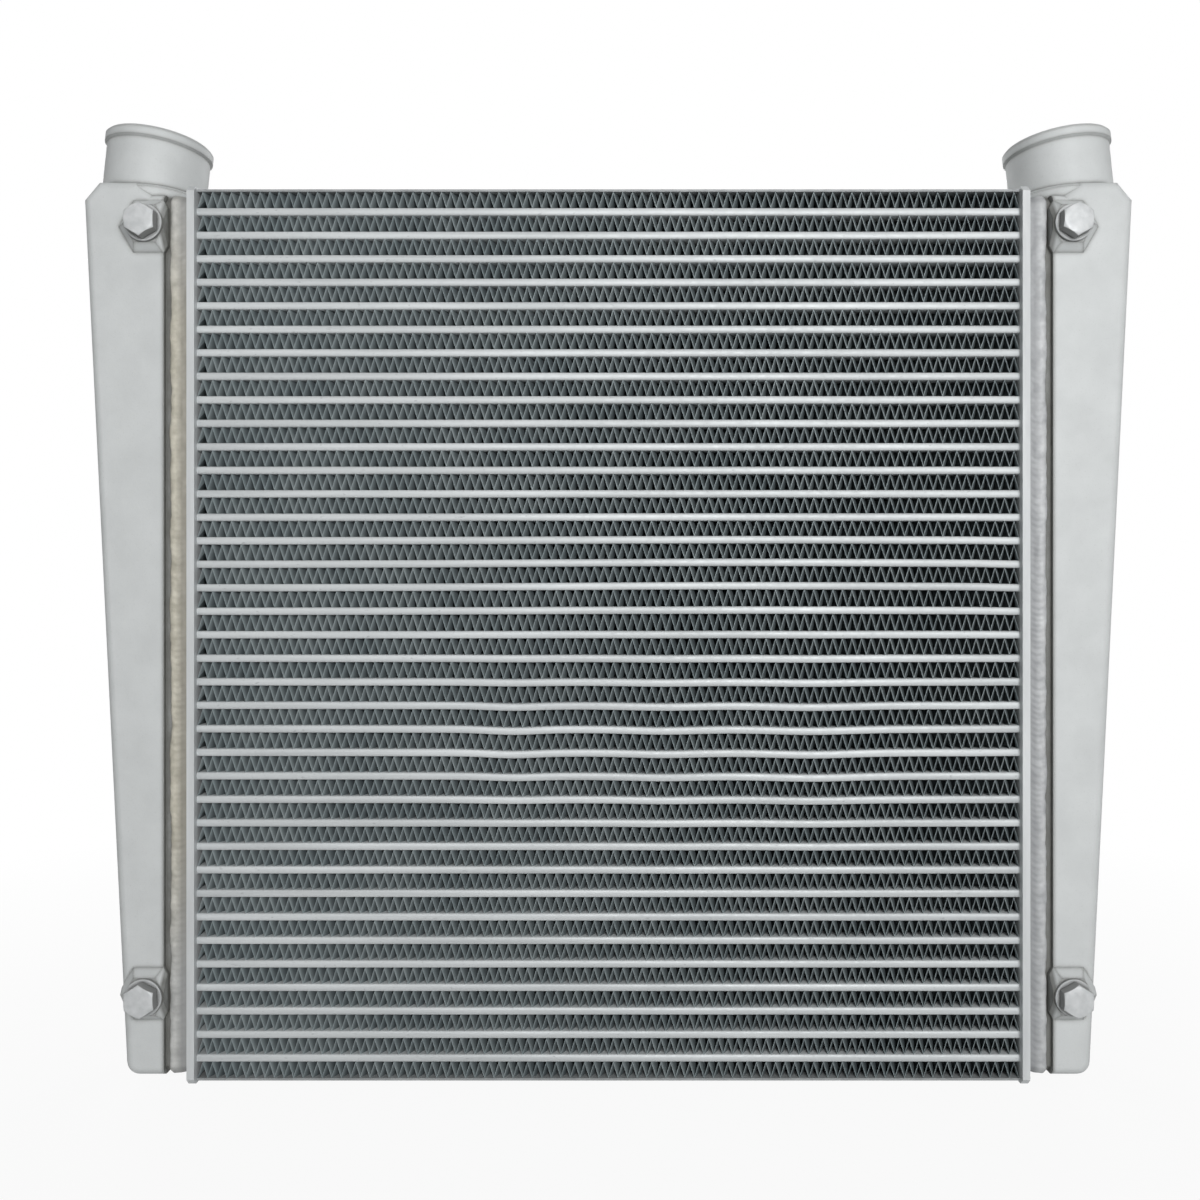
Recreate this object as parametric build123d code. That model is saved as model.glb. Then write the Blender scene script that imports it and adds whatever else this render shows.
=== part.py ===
from build123d import *
from math import cos, pi
import os

# Charge-air intercooler: a brazed core of flat tubes and corrugated fins between two header
# plates, with a cast air tank welded on each side. Units are millimetres, +Z is up, the front
# faces -Y. The origin lies under the middle of the whole part, at the feet of the headers.

# ---- Core -------------------------------------------------------------------------------
tube_count = 37
tube_height = 5.0
tube_depth = 60.0
tube_wall = 0.4
tube_nose = 1.2  # the blunt point of a tube's front and back edge
tube_stick_out = 2.0  # how far a tube's end stands into the tank
core_width = 542.0  # between the two header plates
braze_clearance = 0.05  # around a tube in its header slot

fin_height = 10.5
fin_setback = 0.5  # behind the tubes' noses, front and back
fin_foil = 0.5
fin_waves = 8
fin_end_gap = 0.5  # between a fin strip's end and the header plate
fins_per_bank = 5

side_sheet_thickness = 1.5

# ---- Header plates ----------------------------------------------------------------------
header_thickness = 5.0
header_depth = 70.0
header_overhang = 1.5  # past the side sheets, above and below
header_corner = 4.0

# ---- Cast air tanks ---------------------------------------------------------------------
tank_depth = 74.0
tank_wall = 4.0
tank_width_top = 67.5  # from the header plate to the outer wall, at the tank's top edge
tank_width_bottom = 39.5
tank_foot_gap = 7.0  # the header plate's foot reaches this far below the tank
tank_head_rise = 2.0  # the tank's top edge above the header plate's top edge
tank_edge_round = 6.0
tank_foot_round = 9.0
tank_head_slope_width = 10.0  # the top outer corner is cut to a slope
tank_head_slope_height = 12.0
shoulder_drop = 8.5  # the top edge steps down beside the header plate
shoulder_top_width = 32.0  # from the header plate to the top of the slope
shoulder_foot_width = 22.0  # from the header plate to the foot of the slope

rim_width = 14.0  # the weld land around the tank's mouth
rim_depth = 67.0
rim_wall = 3.0
rim_corner = 4.0
rim_step = 1.5  # the land lies this far inside the tank's top and bottom

# ---- Hose necks -------------------------------------------------------------------------
neck_radius = 33.0
neck_wall = 3.5
neck_offset = 35.0  # from the header plate to the neck's axis
neck_rise = 38.5  # above the tank's top edge, along the neck's axis
neck_lean = 6.0  # towards the core
neck_root_height = 16.0  # the neck's foot tapers into the tank's outer wall
neck_root_taper = 5.0
bead_proud = 1.5
bead_height = 8.0
foot_lip_proud = 3.0
foot_lip_bevel = 2.0
foot_lip_height = 9.0
foot_lip_gap = 0.5  # between the lip and the header plate

# ---- Mounting bosses and bolts ----------------------------------------------------------
boss_offset = 24.0  # from the header plate to the bolt's axis
boss_top_height = 561.5
boss_spacing = 500.0
boss_across_flats = 34.0  # at the root of the pad
boss_height = 6.5
boss_draft = 37.0
boss_edge_margin = 1.0  # the pad keeps this far inside the tank's outline
boss_over_land = 2.5  # and reaches this far over the weld land
boss_inner_flats = 22.0
boss_inner_height = 12.0

bolt_radius = 6.0
bolt_reach = 16.0  # thread engaged below the washer
bolt_hole_depth = 19.0
thread_clearance = 0.05
bolt_head_flats = 19.0
bolt_head_height = 7.5
bolt_head_bevel = 1.0
washer_radius = 12.0
washer_thickness = 2.5
washer_clearance = 0.5

# ---- Weld beads -------------------------------------------------------------------------
weld_width = 11.5
weld_toe = 0.7  # thickness against the header plate
weld_crown = 2.2
weld_crown_place = 9.2  # from the header plate

# ---- Derived places ---------------------------------------------------------------------
row_pitch = tube_height + fin_height
fin_depth = tube_depth - 2 * fin_setback
stack_height = tube_count * tube_height + (tube_count + 1) * fin_height
header_height = stack_height + 2 * (side_sheet_thickness + header_overhang)
stack_bottom = header_overhang + side_sheet_thickness
header_inner_x = core_width / 2
header_outer_x = header_inner_x + header_thickness

tank_bottom = tank_foot_gap
tank_top = header_height + tank_head_rise
shoulder_z = tank_top - shoulder_drop
rim_bottom = tank_bottom + rim_step
rim_top = shoulder_z - rim_step
neck_foot = shoulder_z - tank_wall
neck_length = tank_top + neck_rise - neck_foot
face_y = -tank_depth / 2
pad_y = face_y - boss_height
boss_x = header_outer_x + boss_offset
boss_heights = (boss_top_height, boss_top_height - boss_spacing)

front_reach = -pad_y + washer_thickness + bolt_head_height
back_reach = tank_depth / 2
core_y = (front_reach - back_reach) / 2  # the core's mid-plane, behind the origin

front = Plane.XZ  # drawn on from the front: across is +X, up is +Z, out is -Y
in_place = Pos(0, core_y, 0)
other_side = Plane.YZ


def tube_z(row):
    """Mid-height of a tube, counted from the top."""
    return stack_bottom + stack_height - fin_height - tube_height / 2 - row * row_pitch


def fin_z(row):
    """Underside of a fin strip, counted from the top."""
    return stack_bottom + stack_height - fin_height - row * row_pitch


# ---- Core pieces ------------------------------------------------------------------------
def tube_section(grow=0.0):
    """The tube's outline seen along its length: flat sides and bluntly pointed noses."""
    tip = tube_depth / 2 + grow
    rise = tube_height / 2 + grow
    shoulder = tip - tube_nose
    upper = [(-shoulder, rise), (shoulder, rise), (tip, 0)]
    lower = [(-across, -height) for across, height in upper]
    return make_face(Polyline(*upper, *lower, close=True))


def tube(row):
    half_length = header_outer_x + tube_stick_out
    bore = Rectangle(tube_depth - 2 * tube_nose, tube_height - 2 * tube_wall)
    shell = extrude(Plane.YZ * (tube_section() - bore), half_length, both=True)
    return Pos(0, 0, tube_z(row)) * shell


def fin_strip(row):
    """Zigzag foil whose crests touch the tube above and the tube below."""
    half_length = core_width / 2 - fin_end_gap
    leg = half_length / fin_waves
    slant = fin_foil * (leg**2 + fin_height**2) ** 0.5 / leg
    lower = []
    for crest in range(2 * fin_waves + 1):
        height = (fin_height - slant) * (crest % 2)
        lower.append((crest * leg - half_length, height))
    upper = [(across, height + slant) for across, height in reversed(lower)]
    foil = make_face(Polyline(*lower, *upper, close=True))
    return Pos(0, 0, fin_z(row)) * extrude(front * foil, fin_depth / 2, both=True)


def side_sheet(height):
    sheet = Box(core_width, tube_depth, side_sheet_thickness)
    return Pos(0, 0, height + side_sheet_thickness / 2) * sheet


def header():
    """Right-hand header plate with a slot for every tube."""
    plate = Pos(0, header_height / 2) * Rectangle(header_depth, header_height)
    plate = chamfer(plate.vertices(), header_corner)
    slot = tube_section(braze_clearance)
    slots = [Pos(0, tube_z(row)) * slot for row in range(tube_count)]
    blank = Plane.YZ.offset(header_inner_x) * (plate - slots)
    return extrude(blank, header_thickness)


# ---- Tank -------------------------------------------------------------------------------
def tank_outline():
    """The tank seen from the front, outside its weld land."""
    corners = [
        (rim_width, tank_bottom),
        (tank_width_bottom, tank_bottom),
        (tank_width_top, tank_top - tank_head_slope_height),
        (tank_width_top - tank_head_slope_width, tank_top),
        (shoulder_top_width, tank_top),
        (shoulder_foot_width, shoulder_z),
        (rim_width, shoulder_z),
    ]
    return Pos(header_outer_x, 0) * make_face(Polyline(*corners, close=True))


def foot_corner():
    return Vector(header_outer_x + tank_width_bottom, 0, tank_bottom)


def land_section(wall=0.0):
    """The weld land seen from the side, less an even wall."""
    size = (rim_depth - 2 * wall, rim_top - rim_bottom - 2 * wall)
    blank = Pos(0, (rim_top + rim_bottom) / 2) * Rectangle(*size)
    return Plane.YZ.offset(header_outer_x) * chamfer(blank.vertices(), rim_corner - wall / 2)


def upright(radius, bottom, height):
    """A round blank standing on the middle of the neck's foot."""
    blank = Cylinder(radius, height, align=(Align.CENTER, Align.CENTER, Align.MIN))
    return Pos(header_outer_x + neck_offset, 0, bottom) * blank


def on_neck(blank, start):
    """Puts a blank on the neck's leaning axis, its middle at start from the neck's foot."""
    turned = Rot(0, -neck_lean, 0) * Pos(0, 0, start + neck_foot - tank_top) * blank
    return Pos(header_outer_x + neck_offset, 0, tank_top) * turned


def neck():
    """Leaning round neck with a tapered root and the bead that holds a clamped hose."""
    pipe = on_neck(Cylinder(neck_radius, neck_length), neck_length / 2)
    bead = Cylinder(neck_radius + bead_proud, bead_height)
    bead = chamfer(bead.edges().filter_by(GeomType.CIRCLE), bead_proud)
    root = Cone(neck_radius - neck_root_taper, neck_radius, neck_root_height)
    mouth_end = on_neck(bead, neck_length - bead_height / 2)
    return pipe + mouth_end + on_neck(root, -neck_root_height / 2)


def foot_lip():
    """The thick lip round the inner half of the neck's foot, over the low shoulder."""
    lip = upright(neck_radius + foot_lip_proud, rim_top, foot_lip_height)
    lip = chamfer(lip.edges().group_by(Axis.Z)[-1], foot_lip_bevel)
    width = shoulder_top_width - foot_lip_gap
    window = Pos(header_outer_x + foot_lip_gap, 0, 0) * Box(
        width, tank_depth, 2 * tank_top, align=(Align.MIN, Align.CENTER, Align.CENTER)
    )
    return lip & window


def boss_window(outline):
    """Where the pads may stand: inside the tank's outline and a little over its weld land."""
    inside = offset(outline, -boss_edge_margin)
    length = boss_over_land + boss_edge_margin
    strip = Rectangle(length, rim_top - rim_bottom, align=(Align.MIN, Align.MIN))
    foot = Pos(header_outer_x + rim_width - boss_over_land, rim_bottom)
    return extrude(front * (inside + foot * strip), tank_depth, both=True)


def boss_pad(height, window):
    """Hexagonal cast pad with sloping flanks, cut off upright beside the weld bead."""
    corner_radius = boss_across_flats / 2 / cos(pi / 6)
    hexagon = Pos(boss_x, height) * RegularPolygon(corner_radius, 6)
    raised = extrude(front.offset(-face_y) * hexagon, boss_height, taper=boss_draft)
    root = extrude(front.offset(-face_y) * hexagon, -tank_edge_round)
    return (raised + root) & window


def boss_core(height):
    """The thread's boss inside the tank."""
    depth = tank_wall + boss_inner_height
    hexagon = RegularPolygon(boss_inner_flats / 2 / cos(pi / 6), 6)
    return Pos(boss_x, face_y + depth, height) * extrude(front * hexagon, depth)


def bolt_hole(height):
    hole = extrude(front * Circle(bolt_radius + thread_clearance), bolt_hole_depth)
    return Pos(boss_x, pad_y + bolt_hole_depth, height) * hole


def tank():
    """Right-hand tank: body, weld land, neck and bosses in one casting."""
    outline = tank_outline()
    body = extrude(front * outline, tank_depth / 2, both=True)
    step_x = header_outer_x + rim_width
    foot_edge = body.edges().filter_by(Axis.Y).sort_by_distance(foot_corner())[:1]
    body = fillet(foot_edge, tank_foot_round)
    rounded = [
        edge
        for edge in body.edges()
        if edge.center().X > step_x + 0.01 and abs(edge.center().Y) > tank_depth / 2 - 0.01
    ]
    body = fillet(rounded, tank_edge_round)
    body += extrude(land_section(), rim_width + tank_wall)
    body += neck() + foot_lip()
    window = boss_window(outline)
    for height in boss_heights:
        body += boss_pad(height, window)

    chamber = extrude(front * offset(outline, -tank_wall), tank_depth / 2 - tank_wall, both=True)
    mouth = extrude(land_section(rim_wall), rim_width + 2 * tank_wall)
    bore = Cylinder(neck_radius - neck_wall, neck_length + tank_wall)
    bore = on_neck(bore, (neck_length - tank_wall) / 2)
    cavity = chamber + mouth + bore
    for height in boss_heights:
        cavity -= boss_core(height)
    body -= cavity
    for height in boss_heights:
        body -= bolt_hole(height)
    return body


def weld_bead(casting):
    """Bead round the tank's mouth, from the header plate to the step of the casting."""
    section = [
        (0, 0),
        (0, weld_toe),
        (weld_crown_place, weld_crown),
        (weld_width, 0),
    ]
    start = Plane(
        origin=(header_outer_x, -rim_depth / 2, (rim_top + rim_bottom) / 2),
        x_dir=(1, 0, 0),
        z_dir=(0, 0, 1),
    )
    profile = make_face(Polyline(*[(across, -out) for across, out in section], close=True))
    path = land_section().wire()
    bead = sweep(start * profile, path, transition=Transition.RIGHT)
    return bead - casting - upright(neck_radius, tank_bottom, header_height)


# ---- Fasteners --------------------------------------------------------------------------
def bolt(height):
    """Hexagon bolt, head out to the front, with two corners up and down."""
    hexagon = Rot(0, 0, 30) * RegularPolygon(bolt_head_flats / 2 / cos(pi / 6), 6)
    head = extrude(front * hexagon, bolt_head_height)
    head = chamfer(head.edges().group_by(Axis.Y)[0], bolt_head_bevel)
    shank_length = washer_thickness + bolt_reach
    shank = Pos(0, shank_length, 0) * extrude(front * Circle(bolt_radius), shank_length)
    return Pos(boss_x, pad_y - washer_thickness, height) * (head + shank)


def washer(height):
    ring = Circle(washer_radius) - Circle(bolt_radius + washer_clearance)
    return Pos(boss_x, pad_y, height) * extrude(front * ring, washer_thickness)


# ---- Write every piece ------------------------------------------------------------------
os.makedirs("parts", exist_ok=True)


def save(shape, node):
    export_step(in_place * shape, f"parts/{node}.step")


def save_pair(shape, name):
    """A right-hand piece and its mirror image on the left."""
    save(shape, f"{name}_right")
    save(mirror(shape, about=other_side), f"{name}_left")


for row in range(tube_count):
    save(tube(row), f"tube_{row + 1:02d}")

fin_rows = list(range(tube_count + 1))
for bank, first in enumerate(fin_rows[::fins_per_bank], start=1):
    strips = [fin_strip(row) for row in fin_rows[first : first + fins_per_bank]]
    save(Compound(children=strips), f"fin_bank_{bank}")

save(side_sheet(header_overhang), "side_sheet_bottom")
save(side_sheet(stack_bottom + stack_height), "side_sheet_top")

casting = tank()
save_pair(header(), "header")
save_pair(casting, "tank")
save_pair(weld_bead(casting), "tank_weld")

bolts = [bolt(height) for height in boss_heights]
washers = [washer(height) for height in boss_heights]
for pieces, node in ((bolts, "mounting_bolts"), (washers, "bolt_washers")):
    left_pieces = [mirror(piece, about=other_side) for piece in pieces]
    save(Compound(children=pieces + left_pieces), node)
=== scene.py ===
import bpy
import math
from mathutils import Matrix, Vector, noise


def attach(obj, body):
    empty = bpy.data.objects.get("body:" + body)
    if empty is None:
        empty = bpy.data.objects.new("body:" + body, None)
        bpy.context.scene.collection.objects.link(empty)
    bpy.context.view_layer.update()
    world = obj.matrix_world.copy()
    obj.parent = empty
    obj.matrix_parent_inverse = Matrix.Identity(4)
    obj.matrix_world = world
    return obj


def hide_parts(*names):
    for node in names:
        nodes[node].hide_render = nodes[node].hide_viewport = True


# Looks of the charge-air intercooler: fins at their real pitch, bent tubes, rippled welds and
# chamfered bolts over the CAD model, with materials, floor, light and camera.

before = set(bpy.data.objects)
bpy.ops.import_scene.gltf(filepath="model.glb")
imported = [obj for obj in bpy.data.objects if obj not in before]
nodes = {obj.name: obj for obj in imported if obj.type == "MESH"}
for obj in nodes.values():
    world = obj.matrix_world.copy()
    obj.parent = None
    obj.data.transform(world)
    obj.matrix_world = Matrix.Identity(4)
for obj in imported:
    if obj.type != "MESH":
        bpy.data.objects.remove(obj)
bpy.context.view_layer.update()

MM = 0.001

# ---- Sizes repeated from the CAD model ------------------------------------------------------
TUBE_COUNT = 37
TUBE_HEIGHT = 5.0 * MM
TUBE_DEPTH = 60.0 * MM
TUBE_WALL = 0.4 * MM
TUBE_NOSE = 1.2 * MM
TUBE_PAST_HEADER = 2.0 * MM
FIN_HEIGHT = 10.5 * MM
FIN_DEPTH = 59.0 * MM
FIN_END = 270.5 * MM
FIN_STRIPS = TUBE_COUNT + 1
STRIPS_PER_BANK = 5
ROW_PITCH = TUBE_HEIGHT + FIN_HEIGHT
STACK_TOP = 587.0 * MM
CORE_Y = 8.25 * MM
HEADER_OUT = 276.0 * MM
LAND_DEPTH = 67.0 * MM
LAND_CORNER = 4.0 * MM
LAND_FOOT = 8.5 * MM
LAND_TOP = 582.0 * MM
LAND_STEP = 290.0 * MM
LIP_RADIUS = 36.0 * MM
NECK_X = 311.0 * MM
BOLT_X = 300.0 * MM
BOLT_HEIGHTS = (561.5 * MM, 61.5 * MM)
PAD_Y = CORE_Y - 43.5 * MM
WASHER_THICKNESS = 2.5 * MM
WASHER_RADIUS = 12.0 * MM
WASHER_BORE = 6.5 * MM
HEAD_FLATS = 19.0 * MM
HEAD_HEIGHT = 7.5 * MM
SHANK_RADIUS = 6.0 * MM
SHANK_REACH = 16.0 * MM

# ---- Finer shapes that only the looks need --------------------------------------------------
# Fins: two legs make a wave, and the webs wander sideways by the ruffle along the depth.
FIN_LEGS = 172
FIN_FOIL = 0.17 * MM
FIN_RUFFLE = 3.4 * MM
FIN_STEPS = 10
FIN_CALM = 3.0 * MM  # the ruffles die down this close to the header plates
FIN_CALM_LEAST = 0.1

# Tubes: those of the middle rows are bent, and have many short spans to follow their bends.
NOSE_FULLNESS = 0.8
NOSE_POINTS_OUT = 8
NOSE_POINTS_IN = 5
BENT_ROWS = range(11, 30)
BENT_SPANS = 110
STRAIGHT_SPANS = 8
TUBE_SMOOTH = 40

# A bend's rise, its middle and reach along the tube, all in mm, and its middle row and reach in
# rows.
TUBE_BENDS = (
    (1.5, 90, 190, 15.6, 2.0),
    (-0.55, 60, 170, 22.4, 3.4),
    (-1.35, -63, 22, 22.4, 2.4),
    (-0.95, 36, 28, 22.6, 3.2),
    (-1.25, 134, 34, 22.8, 3.4),
)
BEND_END = HEADER_OUT - 3 * MM
BEND_EASE = 30.0 * MM

# Weld beads: they begin this far from the middle of the land's top, beside the neck's lip.
BEAD_START = 14.0 * MM
BEAD_WIDTH = 11.5 * MM
BEAD_INSET = 0.5 * MM
BEAD_LEAST = 0.8 * MM
BEAD_LIP_GAP = 0.3 * MM
BEAD_TOE = 0.7 * MM
BEAD_CROWN = 2.2 * MM
BEAD_CROWN_PLACE = 0.78
BEAD_SWELL = 1.3
BEAD_ROOT = 0.4 * MM
BEAD_STEP = 0.9 * MM
BEAD_ACROSS = 13
BEAD_TURN = 2.0 * MM
BEAD_SMOOTH = 60
BEAD_SEEDS = {-1: 17.0, 1: 5.0}
EDGE_WAVES = ((62, 0.7, 1.1 * MM), (190, 8.7, 0.5 * MM))  # per metre, noise row, reach
RIPPLE_PITCH = 4.4 * MM
RIPPLE_RISE = 0.30 * MM
RIPPLE_BOW = 3.2 * MM
RIPPLE_FORM = 1.5
RIPPLE_MEAN = 0.4
RIPPLE_DRIFT = 0.9
DRIFT_PER_METRE = 35
DRIFT_ROW = 3.1
LUMP_RISE = 0.45 * MM
LUMPS_PER_METRE = 90
LUMPS_ACROSS = 2.5
LUMP_ROW = 9
RIPPLE_EASE = 6

# Bolts and washers: HEAD_CROWN is the radius where the chamfer of a head begins.
HEAD_POINTS = 96
HEAD_CROWN = 0.48 * HEAD_FLATS
HEAD_CHAMFER = 30
HEAD_EDGE = 0.35 * MM
HEAD_EDGE_IN = 0.12 * MM
HEAD_EDGE_OUT = 0.1 * MM
HEAD_FACE_EDGE = 0.2 * MM
SHANK_POINTS = 32
SHANK_TIP = 1.0 * MM
SHANK_IN_HEAD = 0.5 * MM
BOLT_TURNS = {(-1, 0): 0, (1, 0): 2, (-1, 1): -2, (1, 1): 1}  # degrees, by side and height
WASHER_POINTS = 64
WASHER_UNDER_EDGE = 0.3 * MM
WASHER_TOP_EDGE = 0.5 * MM
STEEL_SMOOTH = 28

SIDES = {-1: "left", 1: "right"}


# ---- Helpers --------------------------------------------------------------------------------
def new_piece(name, verts, faces, material, smooth_angle=None):
    """A mesh piece of the object that rides on its one body."""
    mesh = bpy.data.meshes.new(name)
    mesh.from_pydata(verts, [], faces)
    mesh.validate()
    mesh.update()
    piece = bpy.data.objects.new(name, mesh)
    bpy.context.scene.collection.objects.link(piece)
    mesh.materials.append(material)
    if smooth_angle is not None:
        mesh.shade_smooth()
        mesh.set_sharp_from_angle(angle=math.radians(smooth_angle))
    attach(piece, "root")
    return piece


def hill(value, middle, reach):
    return math.exp(-(((value - middle) / reach) ** 2))


def tube_rise(x, row):
    """How far a tube is bent up or down from its straight line, at x along it."""
    rise = 0.0
    for height, middle, reach, middle_row, row_reach in TUBE_BENDS:
        rise += height * hill(x / MM, middle, reach) * hill(row, middle_row, row_reach)
    ease = max(0.0, min(1.0, (BEND_END - abs(x)) / BEND_EASE))
    return rise * ease * MM


def tube_z(row):
    return STACK_TOP - FIN_HEIGHT - TUBE_HEIGHT / 2 - row * ROW_PITCH


def add_rings(verts, faces, rings, closed=False):
    """Skins a row of rings of points; the last joins the first again when closed."""
    base, count = len(verts), len(rings[0])
    for ring in rings:
        verts.extend(ring)
    spans = len(rings) if closed else len(rings) - 1
    for r in range(spans):
        here = base + r * count
        there = base + (r + 1) % len(rings) * count
        for k in range(count):
            after = (k + 1) % count
            faces.append((here + k, there + k, there + after, here + after))
    if not closed:
        last = base + (len(rings) - 1) * count
        faces.append(tuple(range(base, base + count)))
        faces.append(tuple(reversed(range(last, last + count))))


def srgb(r, g, b):
    def channel(v):
        v /= 255
        return v / 12.92 if v <= 0.04045 else ((v + 0.055) / 1.055) ** 2.4

    return (channel(r), channel(g), channel(b))


# ---- Materials ------------------------------------------------------------------------------
NOISE_ROUGHNESS = 0.55
CREASE_SAMPLES = 6
BEVEL_SAMPLES = 6
EDGE_ALIGNMENT = (0.99, 0.86)  # from where an edge's rounding begins to show, to all of it, for the painted shade on edges
FLANK_ALIGNMENT = (0.78, 0.30)  # from a face turned a little from Y, to a flank, for the painted shade on flanks


class Surface:
    """A material, with short ways to write its nodes."""

    def __init__(self, name):
        self.material = bpy.data.materials.new(name)
        self.material.use_nodes = True
        self.tree = self.material.node_tree
        self.shader = self.tree.nodes["Principled BSDF"]
        self.place = self.add("ShaderNodeTexCoord").outputs["Object"]

    def add(self, kind):
        return self.tree.nodes.new(kind)

    def link(self, source, target):
        self.tree.links.new(source, target)

    def math(self, operation, a, b=None):
        """One sum on two values, where b may be a plain number."""
        node = self.add("ShaderNodeMath")
        node.operation = operation
        self.link(a, node.inputs[0])
        if isinstance(b, (int, float)):
            node.inputs[1].default_value = b
        elif b is not None:
            self.link(b, node.inputs[1])
        return node.outputs[0]

    def times(self, a, b):
        return self.math("MULTIPLY", a, b)

    def distance(self, value, middle=0.0):
        return self.math("ABSOLUTE", self.math("SUBTRACT", value, middle))

    def axis(self, index):
        node = self.add("ShaderNodeSeparateXYZ")
        self.link(self.place, node.inputs["Vector"])
        return node.outputs[index]

    def range(self, value, low, high, to_low=0, to_high=1):
        node = self.add("ShaderNodeMapRange")
        node.inputs["From Min"].default_value = low
        node.inputs["From Max"].default_value = high
        node.inputs["To Min"].default_value = to_low
        node.inputs["To Max"].default_value = to_high
        self.link(value, node.inputs["Value"])
        return node.outputs["Result"]

    def noise(self, scale, detail, stretch=None):
        node = self.add("ShaderNodeTexNoise")
        node.inputs["Scale"].default_value = scale
        node.inputs["Detail"].default_value = detail
        node.inputs["Roughness"].default_value = NOISE_ROUGHNESS
        source = self.place
        if stretch:
            mapping = self.add("ShaderNodeMapping")
            mapping.inputs["Scale"].default_value = stretch
            self.link(source, mapping.inputs["Vector"])
            source = mapping.outputs["Vector"]
        self.link(source, node.inputs["Vector"])
        return node.outputs["Fac"]

    def patches(self, scale, detail, low=0.3, high=0.7, least=0.0, most=1.0, stretch=None):
        """Noise spread over the range from least to most."""
        return self.range(self.noise(scale, detail, stretch), low, high, least, most)

    def mix(self, share, a, b):
        """Colour a, turning into colour b as the share goes from 0 to 1."""
        node = self.add("ShaderNodeMix")
        node.data_type = "RGBA"
        for key, value in (("A", a), ("B", b)):
            socket = [s for s in node.inputs if s.name == key and s.type == "RGBA"][0]
            if isinstance(value, tuple):
                socket.default_value = (*value, 1.0)
            else:
                self.link(value, socket)
        factor = [s for s in node.inputs if s.name == "Factor" and s.type == "VALUE"][0]
        self.link(share, factor)
        return [s for s in node.outputs if s.type == "RGBA"][0]

    def bump(self, height, depth, strength, under=None):
        """Normals of a rough surface, laid over those of a coarser one."""
        node = self.add("ShaderNodeBump")
        node.inputs["Distance"].default_value = depth
        node.inputs["Strength"].default_value = strength
        self.link(height, node.inputs["Height"])
        if under is not None:
            self.link(under, node.inputs["Normal"])
        return node.outputs["Normal"]

    def creases(self, reach, low, high):
        """1 in corners and crevices, 0 on open faces: the share of painted shade there."""
        node = self.add("ShaderNodeAmbientOcclusion")
        node.samples = CREASE_SAMPLES
        node.inputs["Distance"].default_value = reach
        return self.range(node.outputs["AO"], low, high, 1, 0)

    def alignment(self, direction):
        """1 where the surface looks along a direction or against it, 0 at right angles to it."""
        dot = self.add("ShaderNodeVectorMath")
        dot.operation = "DOT_PRODUCT"
        self.link(self.add("ShaderNodeNewGeometry").outputs["Normal"], dot.inputs[0])
        if isinstance(direction, tuple):
            dot.inputs[1].default_value = direction
        else:
            self.link(direction, dot.inputs[1])
        return self.math("ABSOLUTE", dot.outputs["Value"])

    def edge_shade_share(self, reach, most):
        """0 on a flat face, rising to most at its edges: the share of painted shade along
        rounded edges.
        """
        bevel = self.add("ShaderNodeBevel")
        bevel.samples = BEVEL_SAMPLES
        bevel.inputs["Radius"].default_value = reach
        return self.range(self.alignment(bevel.outputs["Normal"]), *EDGE_ALIGNMENT, 0, most)

    def flank_shade_share(self, most):
        """0 on faces square to Y, rising to most on the faces round them: the share of painted
        shade on flanks.
        """
        return self.range(self.alignment((0, 1, 0)), *FLANK_ALIGNMENT, 0, most)

    def finish(self, tone, roughness, metallic, normal, specular=None):
        """Sets the shader and gives the finished material."""
        self.link(tone, self.shader.inputs["Base Color"])
        self.link(roughness, self.shader.inputs["Roughness"])
        self.link(normal, self.shader.inputs["Normal"])
        self.shader.inputs["Metallic"].default_value = metallic
        if specular is not None:
            self.shader.inputs["Specular IOR Level"].default_value = specular
        return self.material


def painted_groove_shade(m):
    """Painted shade on the weld land, in the groove between the weld bead and the casting's
    step.
    """
    near = m.range(m.distance(m.axis(0)), LAND_STEP - 1.0 * MM, LAND_STEP + 0.5 * MM, 1, 0)
    below = m.range(m.axis(2), LAND_TOP, LAND_TOP + 3 * MM, 1, 0)
    patchy = m.patches(scale=60, detail=3, least=0.55, most=0.95)
    return m.times(m.times(near, below), patchy)


def cast_material():
    """Pale sand-cast metal, with painted shade along its edges, in its creases and in the weld
    groove.
    """
    dull, bright = srgb(204, 207, 207), srgb(212, 215, 215)
    # edge is the tone of the painted shade along rounded edges.
    speck, edge = srgb(178, 180, 178), srgb(118, 118, 115)
    # Painted shade tones: one for creases and corners, one for the groove beside the weld bead.
    crease_shade_tone, groove_shade_tone = srgb(92, 92, 88), srgb(104, 104, 100)
    m = Surface("cast_aluminium")
    tone = m.mix(m.patches(scale=45, detail=3), dull, bright)
    tone = m.mix(m.patches(scale=900, detail=2, low=0.60, high=0.78, most=0.35), tone, speck)
    # Painted shade along the rounded edges.
    tone = m.mix(m.edge_shade_share(4.5 * MM, most=0.8), tone, edge)
    uneven = m.patches(scale=140, detail=3, least=0.75)
    # Painted shade in creases and corners, in uneven patches.
    tone = m.mix(m.times(m.creases(5 * MM, 0.5, 0.88), uneven), tone, crease_shade_tone)
    # Painted shade in the groove beside the weld bead.
    tone = m.mix(painted_groove_shade(m), tone, groove_shade_tone)
    rough = m.patches(scale=160, detail=4, least=0.52, most=0.64)
    waves = m.bump(m.noise(scale=75, detail=3), depth=0.6 * MM, strength=0.35)
    grain = m.bump(m.noise(scale=1300, detail=3), depth=0.12 * MM, strength=0.55, under=waves)
    return m.finish(tone, rough, metallic=0.05, normal=grain, specular=0.12)


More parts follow.
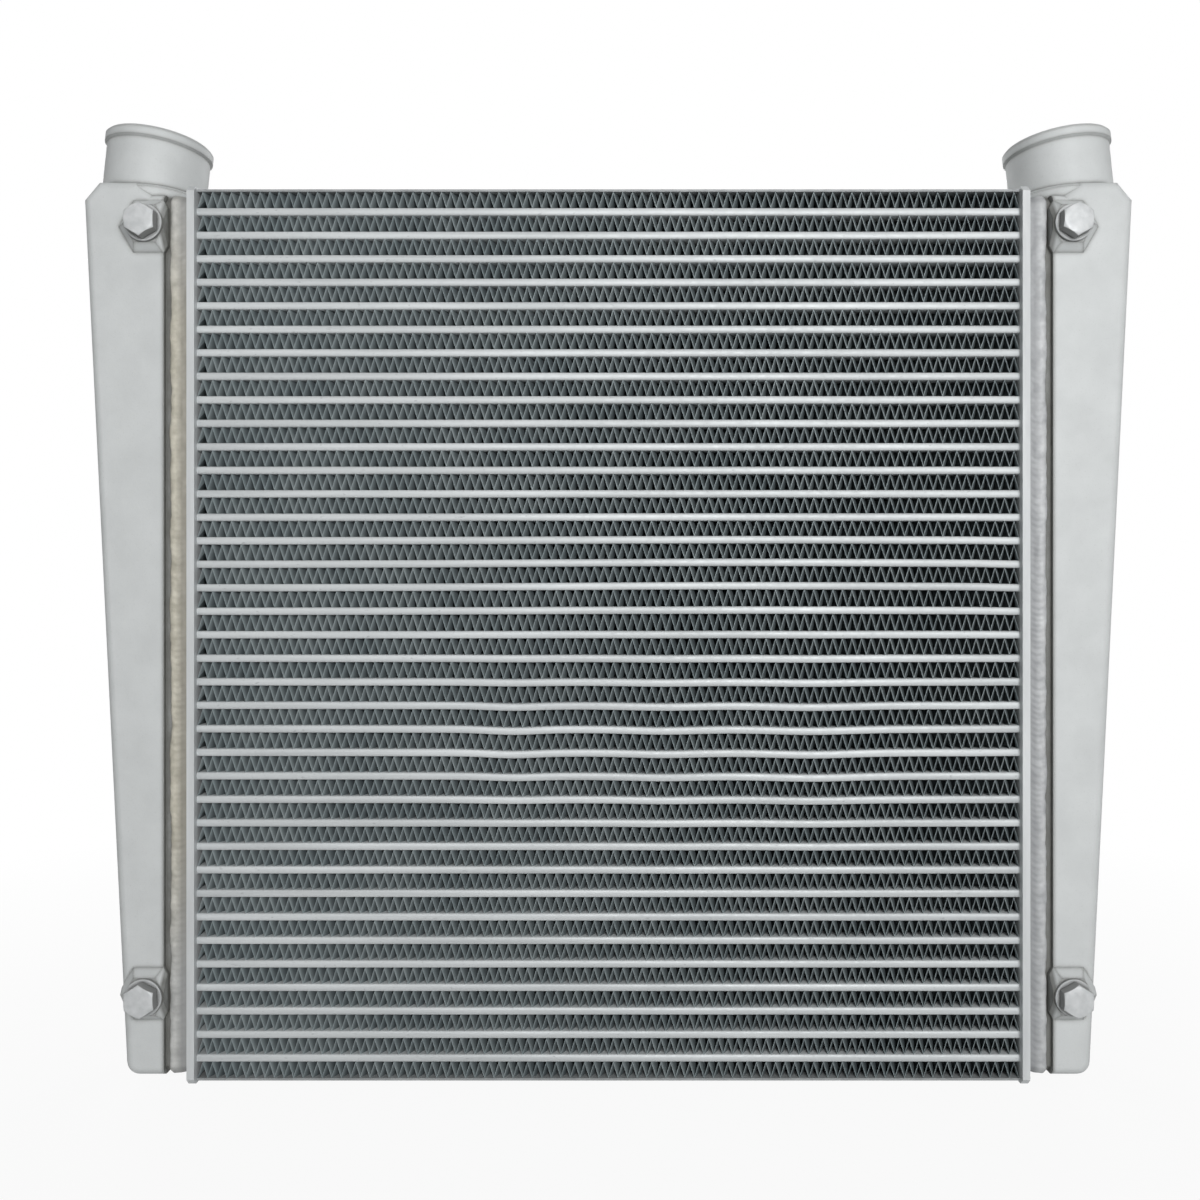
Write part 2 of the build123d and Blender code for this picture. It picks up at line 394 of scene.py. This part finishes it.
def tube_material():
    """Drawn metal with streaks along the tube and a few dull spots."""
    dull, bright, spot = srgb(186, 190, 191), srgb(206, 210, 211), srgb(150, 153, 155)
    m = Surface("tube_aluminium")
    streaks = m.patches(scale=60, detail=5, low=0.35, high=0.68, stretch=(0.12, 1, 3.0))
    spots = m.patches(scale=420, detail=3, low=0.64, high=0.76, most=0.6, stretch=(0.5, 1, 1))
    tone = m.mix(spots, m.mix(streaks, dull, bright), spot)
    rough = m.patches(scale=220, detail=4, least=0.42, most=0.56)
    dents = m.noise(scale=55, detail=2, stretch=(0.5, 1, 1))
    dents = m.bump(dents, depth=0.4 * MM, strength=0.4)
    grain = m.bump(m.noise(scale=1500, detail=2), depth=0.05 * MM, strength=0.4, under=dents)
    return m.finish(tone, rough, metallic=0.15, normal=grain, specular=0.3)


def fin_material():
    """Foil in its own tone at the core's two faces, darkened deeper inside the core by painted
    shade.
    """
    face_dull, face_bright = srgb(138, 150, 153), srgb(158, 168, 170)
    # This pair of tones is painted shade, for the foil deep inside the core.
    shaded_dull, shaded_bright = srgb(82, 90, 93), srgb(96, 104, 106)
    m = Surface("fin_foil")
    patches = m.patches(scale=30, detail=4, low=0.35, high=0.65)
    face_tone = m.mix(patches, face_dull, face_bright)
    shaded_tone = m.mix(patches, shaded_dull, shaded_bright)
    face = FIN_DEPTH / 2
    near_face = m.range(m.distance(m.axis(1), CORE_Y), face - 5 * MM, face)
    # Painted shade: darker away from the core's two faces.
    tone = m.mix(m.times(near_face, near_face), shaded_tone, face_tone)
    rough = m.patches(scale=500, detail=2, least=0.5, most=0.65)
    grain = m.bump(m.noise(scale=900, detail=2), depth=0.08 * MM, strength=0.5)
    return m.finish(tone, rough, metallic=0.3, normal=grain)


def plate_material(name, dull, bright):
    """Rolled plate, streaked along its height."""
    m = Surface(name)
    rolled = m.patches(scale=70, detail=5, low=0.35, high=0.65, stretch=(1, 1, 0.1))
    tone = m.mix(rolled, dull, bright)
    rough = m.patches(scale=300, detail=4, least=0.46, most=0.6, stretch=(1, 1, 0.2))
    grain = m.noise(scale=900, detail=3, stretch=(1, 1, 0.15))
    grain = m.bump(grain, depth=0.06 * MM, strength=0.5)
    return m.finish(tone, rough, metallic=0.1, normal=grain, specular=0.2)


def left_tan_tint(m):
    """Where the left bead is tinted tan: on its long middle, less towards its ends."""
    above = m.range(m.axis(2), 0.07, 0.17, 0.25, 1)
    below = m.range(m.axis(2), 0.50, 0.57, 1, 0.4)
    left = m.range(m.axis(0), -0.1, 0.1, 1, 0)
    return m.times(m.times(above, below), left)


def weld_material():
    """Grey with sooty patches, tinted tan along the left bead, and with painted shade on its
    slope beside the header plate.
    """
    # The last tone in each of these rows is painted shade, for the bead's slope beside the
    # header plate.
    grey, grey_sooty, grey_shaded = srgb(196, 198, 199), srgb(164, 166, 168), srgb(146, 148, 150)
    tan, tan_sooty, tan_shaded = srgb(202, 198, 184), srgb(170, 166, 152), srgb(134, 131, 122)
    m = Surface("weld_metal")
    soot = m.patches(scale=110, detail=5, low=0.38, high=0.66)
    tan_share = left_tan_tint(m)
    tone = m.mix(tan_share, m.mix(soot, grey, grey_sooty), m.mix(soot, tan, tan_sooty))
    from_middle = m.distance(m.axis(0))
    # Painted shade on the bead's slope beside the header plate, away from its crown.
    inner = m.range(from_middle, HEADER_OUT + 3 * MM, HEADER_OUT + 7 * MM, 0.85, 0)
    tone = m.mix(inner, tone, m.mix(tan_share, grey_shaded, tan_shaded))
    rough = m.patches(scale=400, detail=3, least=0.46, most=0.6)
    grain = m.bump(m.noise(scale=1100, detail=3), depth=0.1 * MM, strength=0.5)
    return m.finish(tone, rough, metallic=0.1, normal=grain, specular=0.25)


def zinc_material():
    """Zinc-plated steel with a cloudy bloom, and painted shade on the flanks of heads and
    washers and in their creases.
    """
    bright, bloomed = srgb(208, 210, 211), srgb(188, 191, 192)
    # Painted shade tones: one for flanks, one for creases.
    flank, crease_shade_tone = srgb(112, 112, 110), srgb(80, 80, 78)
    m = Surface("zinc_steel")
    tone = m.mix(m.patches(scale=180, detail=4, low=0.35), bright, bloomed)
    # Painted shade on flanks turned away from Y.
    tone = m.mix(m.flank_shade_share(most=0.75), tone, flank)
    # Painted shade in creases and corners.
    tone = m.mix(m.creases(4 * MM, 0.4, 0.85), tone, crease_shade_tone)
    rough = m.patches(scale=260, detail=3, least=0.40, most=0.54)
    grain = m.bump(m.noise(scale=1800, detail=2), depth=0.03 * MM, strength=0.5)
    return m.finish(tone, rough, metallic=0.15, normal=grain, specular=0.2)


cast = cast_material()
tube_metal = tube_material()
foil = fin_material()
plate = plate_material("plate_aluminium", srgb(194, 197, 198), srgb(212, 215, 216))
sheet = plate_material("sheet_aluminium", srgb(146, 149, 150), srgb(166, 169, 170))
weld = weld_material()
zinc = zinc_material()

# The first beginning that fits a node's name decides.
FINISHES = (
    ("tank_weld", weld),
    ("tank", cast),
    ("header", plate),
    ("side_sheet", sheet),
    ("tube", tube_metal),
    ("fin", foil),
    ("", zinc),
)

for name, node in nodes.items():
    finish = next(finish for start, finish in FINISHES if name.startswith(start))
    for place in range(len(node.material_slots)):
        node.material_slots[place].material = finish


# ---- Fins -----------------------------------------------------------------------------------
def fin_points(row):
    """Points of one corrugated strip: at each depth, each bend's under and upper side."""
    leg = 2 * FIN_END / FIN_LEGS
    slant = FIN_FOIL * math.hypot(leg, FIN_HEIGHT) / leg
    points = []
    for step in range(FIN_STEPS + 1):
        y = CORE_Y - FIN_DEPTH / 2 + FIN_DEPTH * step / FIN_STEPS
        ruffle = FIN_RUFFLE * math.sin(step * math.pi / 2)
        for bend in range(FIN_LEGS + 1):
            x = -FIN_END + bend * leg
            if bend % 2 == 0:
                rise = tube_rise(x, row) if row < TUBE_COUNT else 0.0
                z = STACK_TOP - row * ROW_PITCH - FIN_HEIGHT + rise
            else:
                rise = tube_rise(x, row - 1) if row > 0 else 0.0
                z = STACK_TOP - row * ROW_PITCH + rise - slant
            calm = min(1.0, (FIN_END - abs(x)) / FIN_CALM + FIN_CALM_LEAST)
            place = max(-FIN_END, min(FIN_END, x + ruffle * calm))
            points.append((place, y, z))
            points.append((place, y, z + slant))
    return points


def fin_strip(row, verts, faces):
    """One corrugated foil strip, with webs that wander along the depth."""
    base = len(verts)
    verts.extend(fin_points(row))
    end = 2 * FIN_LEGS
    for step in range(FIN_STEPS):
        here = base + step * (end + 2)
        there = here + end + 2
        for a in range(0, end, 2):
            b = a + 2
            faces.append((here + a, there + a, there + b, here + b))
            faces.append((here + a + 1, here + b + 1, there + b + 1, there + a + 1))
        faces.append((here, here + 1, there + 1, there))
        faces.append((here + end, there + end, there + end + 1, here + end + 1))
    back = base + FIN_STEPS * (end + 2)
    for a in range(0, end, 2):
        faces.append((base + a, base + a + 2, base + a + 3, base + a + 1))
        faces.append((back + a + 1, back + a + 3, back + a + 2, back + a))


for bank, first in enumerate(range(0, FIN_STRIPS, STRIPS_PER_BANK), start=1):
    verts, faces = [], []
    for row in range(first, min(first + STRIPS_PER_BANK, FIN_STRIPS)):
        fin_strip(row, verts, faces)
    piece = new_piece(f"corrugated_fins_{bank}", verts, faces, foil)
    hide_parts(f"fin_bank_{bank}")


# ---- Tubes ----------------------------------------------------------------------------------
def tube_ring(wall, points):
    """A flat tube's section with low rounded noses, a wall's thickness inside its outline."""
    half_height = TUBE_HEIGHT / 2 - wall
    shoulder = TUBE_DEPTH / 2 - TUBE_NOSE
    nose = TUBE_NOSE - wall
    ring = []
    for side, start in ((1, -90), (-1, 90)):
        for k in range(points + 1):
            angle = math.radians(start + 180 * k / points)
            out = nose * abs(math.cos(angle)) ** NOSE_FULLNESS
            ring.append((side * (shoulder + out), half_height * math.sin(angle)))
    return ring


def tube_skin(verts, faces, ring, row, spans, inward):
    """Sweeps a ring along a tube and gives the points of its first and last place."""
    base, count = len(verts), len(ring)
    half = HEADER_OUT + TUBE_PAST_HEADER
    for k in range(spans + 1):
        x = -half + 2 * half * k / spans
        rise = tube_rise(x, row)
        for across, up in ring:
            verts.append((x, CORE_Y + across, tube_z(row) + up + rise))
    for here in range(base, base + spans * count, count):
        for j in range(count):
            a, b = here + j, here + (j + 1) % count
            quad = (a, b, b + count, a + count)
            faces.append(tuple(reversed(quad)) if inward else quad)
    last = base + spans * count
    return range(base, base + count), range(last, last + count)


def rim(faces, outer, inner, flip):
    """Joins the outer and inner ring at a tube's end with triangles."""
    n, m = len(outer), len(inner)
    i = j = 0
    while i < n or j < m:
        if j >= m or (i < n and (i + 0.5) / n <= (j + 0.5) / m):
            tri = (outer[i % n], outer[(i + 1) % n], inner[j % m])
            i += 1
        else:
            tri = (outer[i % n], inner[(j + 1) % m], inner[j % m])
            j += 1
        faces.append(tri if flip else tuple(reversed(tri)))


for row in range(TUBE_COUNT):
    spans = BENT_SPANS if row in BENT_ROWS else STRAIGHT_SPANS
    verts, faces = [], []
    outside = tube_skin(verts, faces, tube_ring(0.0, NOSE_POINTS_OUT), row, spans, False)
    inside = tube_skin(verts, faces, tube_ring(TUBE_WALL, NOSE_POINTS_IN), row, spans, True)
    for outer, inner, flip in zip(outside, inside, (False, True)):
        rim(faces, outer, inner, flip)
    name = f"flat_tube_{row + 1:02d}"
    piece = new_piece(name, verts, faces, tube_metal, TUBE_SMOOTH)
    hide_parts(f"tube_{row + 1:02d}")


# ---- Weld beads -----------------------------------------------------------------------------
def land_corners():
    """The weld land's outline as (y, z), from beside the neck's lip round to its other side."""
    half, cut = LAND_DEPTH / 2, LAND_CORNER
    side = [
        (BEAD_START, LAND_TOP),
        (half - cut, LAND_TOP),
        (half, LAND_TOP - cut),
        (half, LAND_FOOT + cut),
        (half - cut, LAND_FOOT),
    ]
    return side + [(-y, z) for y, z in reversed(side)]


def bead_path():
    """Once round the weld land, from beside the neck's lip at the back to the front.

    Gives places as (y, z, out_y, out_z, distance); out_y and out_z point away from the land.
    """
    corners = land_corners()
    sides = list(zip(corners, corners[1:]))
    normals = []
    for here, there in sides:
        length = math.dist(here, there)
        normals.append(((here[1] - there[1]) / length, (there[0] - here[0]) / length))
    places = []
    travelled = 0.0
    for number, (here, there) in enumerate(sides):
        length = math.dist(here, there)
        final = number == len(sides) - 1
        nearby = (
            normals[max(0, number - 1)],
            normals[number],
            normals[min(len(sides) - 1, number + 1)],
        )
        count = max(3, round(length / BEAD_STEP))
        for k in range(count + (1 if final else 0)):
            t = k / count
            turn_in = max(0.0, 1 - t * length / BEAD_TURN) / 2
            turn_out = max(0.0, 1 - (1 - t) * length / BEAD_TURN) / 2
            shares = (turn_in, 1 - turn_in - turn_out, turn_out)
            out_y = sum(share * normal[0] for share, normal in zip(shares, nearby))
            out_z = sum(share * normal[1] for share, normal in zip(shares, nearby))
            y = here[0] + t * (there[0] - here[0])
            z = here[1] + t * (there[1] - here[1])
            places.append((y, z, out_y, out_z, travelled + t * length))
        travelled += length
    return places


def bead_width(y, z, along, seed):
    """The bead's width with its wavering edge, narrow where the neck's lip leaves no room."""
    width = BEAD_WIDTH - BEAD_INSET
    for per_metre, noise_row, reach in EDGE_WAVES:
        width += noise.noise(Vector((along * per_metre, seed, noise_row))) * reach
    if z > LAND_TOP - 1.0 * MM:
        to_lip = NECK_X - HEADER_OUT - math.sqrt(max(0.0, LIP_RADIUS ** 2 - y * y))
        width = min(width, max(BEAD_LEAST, to_lip - BEAD_LIP_GAP))
    return width


def bead_rise(share, along, seed):
    """Height of the bead over the land, at a share of its width, with laid-over ripples."""
    if share < BEAD_CROWN_PLACE:
        t = share / BEAD_CROWN_PLACE
        rise = BEAD_TOE + (BEAD_CROWN - BEAD_TOE) * math.sin(t * math.pi / 2) ** BEAD_SWELL
    else:
        t = (share - BEAD_CROWN_PLACE) / (1 - BEAD_CROWN_PLACE)
        rise = BEAD_CROWN * math.sqrt(max(0.0, 1 - t * t))
    bow = RIPPLE_BOW * (share - 0.5) ** 2 * 4
    drift = noise.noise(Vector((along * DRIFT_PER_METRE, seed, DRIFT_ROW))) * RIPPLE_DRIFT
    phase = ((along - bow) / RIPPLE_PITCH + drift) % 1.0
    ripple = (1 - phase) ** RIPPLE_FORM - RIPPLE_MEAN
    spot = Vector((along * LUMPS_PER_METRE, share * LUMPS_ACROSS, seed + LUMP_ROW))
    lump = noise.noise(spot) * LUMP_RISE
    ease = min(1.0, share * RIPPLE_EASE, (1 - share) * RIPPLE_EASE)
    return rise + ease * (RIPPLE_RISE * ripple + lump)


def bead_ring(side, place):
    """One section across the bead: its back over the land, and its root sunk into it."""
    y, z, out_y, out_z, along = place
    seed = BEAD_SEEDS[side]
    width = bead_width(y, z, along, seed)
    section = []
    for k in range(BEAD_ACROSS):
        share = k / BEAD_ACROSS
        rise = bead_rise(share, along, seed) * min(1.0, 2 * width / BEAD_WIDTH)
        section.append((share * width, rise))
    section += [(width, -BEAD_ROOT), (0.0, -BEAD_ROOT)]
    return [
        (side * (HEADER_OUT + over), CORE_Y + y + out_y * rise, z + out_z * rise)
        for over, rise in section
    ]


def weld_bead(side):
    """The bead that joins one tank's weld land to its header plate."""
    verts, faces = [], []
    add_rings(verts, faces, [bead_ring(side, place) for place in bead_path()])
    if side > 0:
        faces = [tuple(reversed(face)) for face in faces]
    name = f"rippled_weld_{SIDES[side]}"
    piece = new_piece(name, verts, faces, weld, BEAD_SMOOTH)
    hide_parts(f"tank_weld_{SIDES[side]}")


for side in SIDES:
    weld_bead(side)


# ---- Bolts and washers ----------------------------------------------------------------------
def around(centre, angle, radius, y):
    """A point at an angle and radius about an axis along Y, counted from straight up."""
    return (centre[0] + radius * math.sin(angle), y, centre[1] + radius * math.cos(angle))


def turned_rings(centre, profile, count):
    """Rings about an axis along Y through centre; the profile holds (radius, y) pairs."""
    turn = 2 * math.pi / count
    return [[around(centre, k * turn, radius, y) for k in range(count)] for radius, y in profile]


def head_rings(centre, turn):
    """A hexagon head with a turned chamfer, one corner up and one down."""
    foot = PAD_Y - WASHER_THICKNESS
    top = foot - HEAD_HEIGHT
    columns = []
    for k in range(HEAD_POINTS):
        angle = 2 * math.pi * k / HEAD_POINTS
        from_flat = math.radians(math.degrees(angle) % 60 - 30)
        reach = HEAD_FLATS / 2 / math.cos(from_flat)
        past = reach - HEAD_CROWN
        drop = max(0.0, past) * math.tan(math.radians(HEAD_CHAMFER))
        profile = (
            (reach, foot),
            (reach, top + drop + HEAD_EDGE),
            (reach - HEAD_EDGE_IN, top + drop + HEAD_EDGE_OUT),
            (HEAD_CROWN + past / 2, top + drop / 2),
            (HEAD_CROWN - HEAD_FACE_EDGE, top),
            (HEAD_CROWN / 2, top),
        )
        angle += math.radians(turn)
        columns.append([around(centre, angle, radius, y) for radius, y in profile])
    return list(zip(*columns))


def shank_rings(centre):
    """A plain shank from just inside the head to its chamfered tip; the thread is left out."""
    tip = PAD_Y + SHANK_REACH
    profile = (
        (SHANK_RADIUS - SHANK_TIP, tip),
        (SHANK_RADIUS, tip - SHANK_TIP),
        (SHANK_RADIUS, PAD_Y - WASHER_THICKNESS - SHANK_IN_HEAD),
    )
    return turned_rings(centre, profile, SHANK_POINTS)


def washer_rings(centre):
    """A washer with broken edges, from its underside on the pad round to its top."""
    top = PAD_Y - WASHER_THICKNESS
    profile = (
        (WASHER_BORE, PAD_Y),
        (WASHER_RADIUS - WASHER_UNDER_EDGE, PAD_Y),
        (WASHER_RADIUS, PAD_Y - WASHER_UNDER_EDGE),
        (WASHER_RADIUS, top + WASHER_TOP_EDGE),
        (WASHER_RADIUS - WASHER_TOP_EDGE, top),
        (WASHER_BORE, top),
    )
    return turned_rings(centre, profile, WASHER_POINTS)


bolt_verts, bolt_faces = [], []
washer_verts, washer_faces = [], []
for side in SIDES:
    for place, height in enumerate(BOLT_HEIGHTS):
        centre = (side * BOLT_X, height)
        add_rings(bolt_verts, bolt_faces, head_rings(centre, BOLT_TURNS[side, place]))
        add_rings(bolt_verts, bolt_faces, shank_rings(centre))
        add_rings(washer_verts, washer_faces, washer_rings(centre), closed=True)
bolts = new_piece("hex_bolts", bolt_verts, bolt_faces, zinc, STEEL_SMOOTH)
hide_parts("mounting_bolts")
washers = new_piece("plain_washers", washer_verts, washer_faces, zinc, STEEL_SMOOTH)
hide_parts("bolt_washers")


# ---- Floor, light and camera ----------------------------------------------------------------
AMBIENT = 0.08
FLOOR_REACH = 6.0
FLOOR_GREY = 0.5
FLOOR_GLOW = (0.93, 1.0)  # share of plain white under the object, and away from it
FLOOR_FADE = (0.35, 0.95)  # metres from the middle between which it goes from one to the other

LAMP_AIM = (0, 0, 0.3)
# Name, place, width and height in metres, and watts.
LAMPS = (
    ("key", (0.40, -1.95, 0.80), (0.8, 0.8), 30),
    ("fill", (-1.1, -1.9, 0.7), (1.0, 1.0), 1.2),
    ("top", (0.0, -0.3, 2.4), (2.0, 1.2), 2.5),
    ("back_left", (-1.2, 2.1, 1.0), (1.0, 1.0), 22),
    ("back_right", (1.2, 2.1, 1.0), (1.0, 1.0), 22),
)

# Where the photograph was taken from, with its focal length in its own pixels.
CAMERA_X = -5.5 * MM
CAMERA_BACK = 740.0 * MM
CAMERA_HEIGHT = 318.0 * MM
FOCAL_PIXELS = 1078
FRAME_PIXELS = 1200
SENSOR_WIDTH = 36


def seen_share(tree):
    """1 for the rays that see the background: the camera's, and those a metal reflects."""
    path = tree.nodes.new("ShaderNodeLightPath")
    seen = path.outputs["Is Camera Ray"]
    for kind in ("Is Glossy Ray", "Is Transmission Ray"):
        either = tree.nodes.new("ShaderNodeMath")
        either.operation = "MAXIMUM"
        tree.links.new(seen, either.inputs[0])
        tree.links.new(path.outputs[kind], either.inputs[1])
        seen = either.outputs[0]
    return seen


def floor_material():
    """Grey under the lamps, but nearly plain white to look at, with the object's shadow."""
    m = Surface("floor_white")
    m.shader.inputs["Base Color"].default_value = (FLOOR_GREY, FLOOR_GREY, FLOOR_GREY, 1)
    m.shader.inputs["Roughness"].default_value = 0.9
    grain = m.bump(m.noise(scale=60, detail=2), depth=0.3 * MM, strength=1.0)
    m.link(grain, m.shader.inputs["Normal"])
    away = m.add("ShaderNodeVectorMath")
    away.operation = "LENGTH"
    m.link(m.place, away.inputs[0])
    fade = m.range(away.outputs["Value"], *FLOOR_FADE, *FLOOR_GLOW)
    glow = m.add("ShaderNodeEmission")
    glow.inputs["Color"].default_value = (1, 1, 1, 1)
    mix = m.add("ShaderNodeMixShader")
    m.link(m.times(seen_share(m.tree), fade), mix.inputs[0])
    m.link(m.shader.outputs[0], mix.inputs[1])
    m.link(glow.outputs[0], mix.inputs[2])
    m.link(mix.outputs[0], m.tree.nodes["Material Output"].inputs["Surface"])
    return m.material


def white_floor():
    """A pale floor that fades to the white background away from the object."""
    mesh = bpy.data.meshes.new("floor")
    corners = [(x, y, 0) for x, y in ((-1, -1), (1, -1), (1, 1), (-1, 1))]
    corners = [(x * FLOOR_REACH, y * FLOOR_REACH, z) for x, y, z in corners]
    mesh.from_pydata(corners, [], [(0, 1, 2, 3)])
    mesh.materials.append(floor_material())
    floor = bpy.data.objects.new("floor", mesh)
    bpy.context.scene.collection.objects.link(floor)


def white_world():
    """White to look at, and a plain even light on the object."""
    world = bpy.data.worlds.new("studio")
    bpy.context.scene.world = world
    world.use_nodes = True
    tree = world.node_tree
    light = tree.nodes["Background"]
    light.inputs["Color"].default_value = (1, 1, 1, 1)
    light.inputs["Strength"].default_value = AMBIENT
    seen = tree.nodes.new("ShaderNodeBackground")
    seen.inputs["Color"].default_value = (1, 1, 1, 1)
    seen.inputs["Strength"].default_value = 1.0
    mix = tree.nodes.new("ShaderNodeMixShader")
    tree.links.new(seen_share(tree), mix.inputs[0])
    tree.links.new(light.outputs[0], mix.inputs[1])
    tree.links.new(seen.outputs[0], mix.inputs[2])
    tree.links.new(mix.outputs[0], tree.nodes["World Output"].inputs["Surface"])


def softbox(name, place, size, power):
    """A rectangular lamp that looks at the object's middle."""
    data = bpy.data.lights.new(name, "AREA")
    data.shape = "RECTANGLE"
    data.size, data.size_y = size
    data.energy = power
    lamp = bpy.data.objects.new(name, data)
    lamp.location = place
    aim = Vector(LAMP_AIM) - Vector(place)
    lamp.rotation_euler = aim.to_track_quat("-Z", "Y").to_euler()
    bpy.context.scene.collection.objects.link(lamp)


def photo_camera():
    """The photograph's camera: level, and square to the core's front."""
    data = bpy.data.cameras.new("camera")
    data.sensor_width = SENSOR_WIDTH
    data.lens = SENSOR_WIDTH * FOCAL_PIXELS / FRAME_PIXELS
    camera = bpy.data.objects.new("camera", data)
    camera.location = (CAMERA_X, CORE_Y - CAMERA_BACK, CAMERA_HEIGHT)
    camera.rotation_euler = (math.radians(90), 0, 0)
    bpy.context.scene.collection.objects.link(camera)
    bpy.context.scene.camera = camera


white_floor()
white_world()
for lamp in LAMPS:
    softbox(*lamp)
photo_camera()
bpy.context.scene.view_settings.view_transform = "Standard"
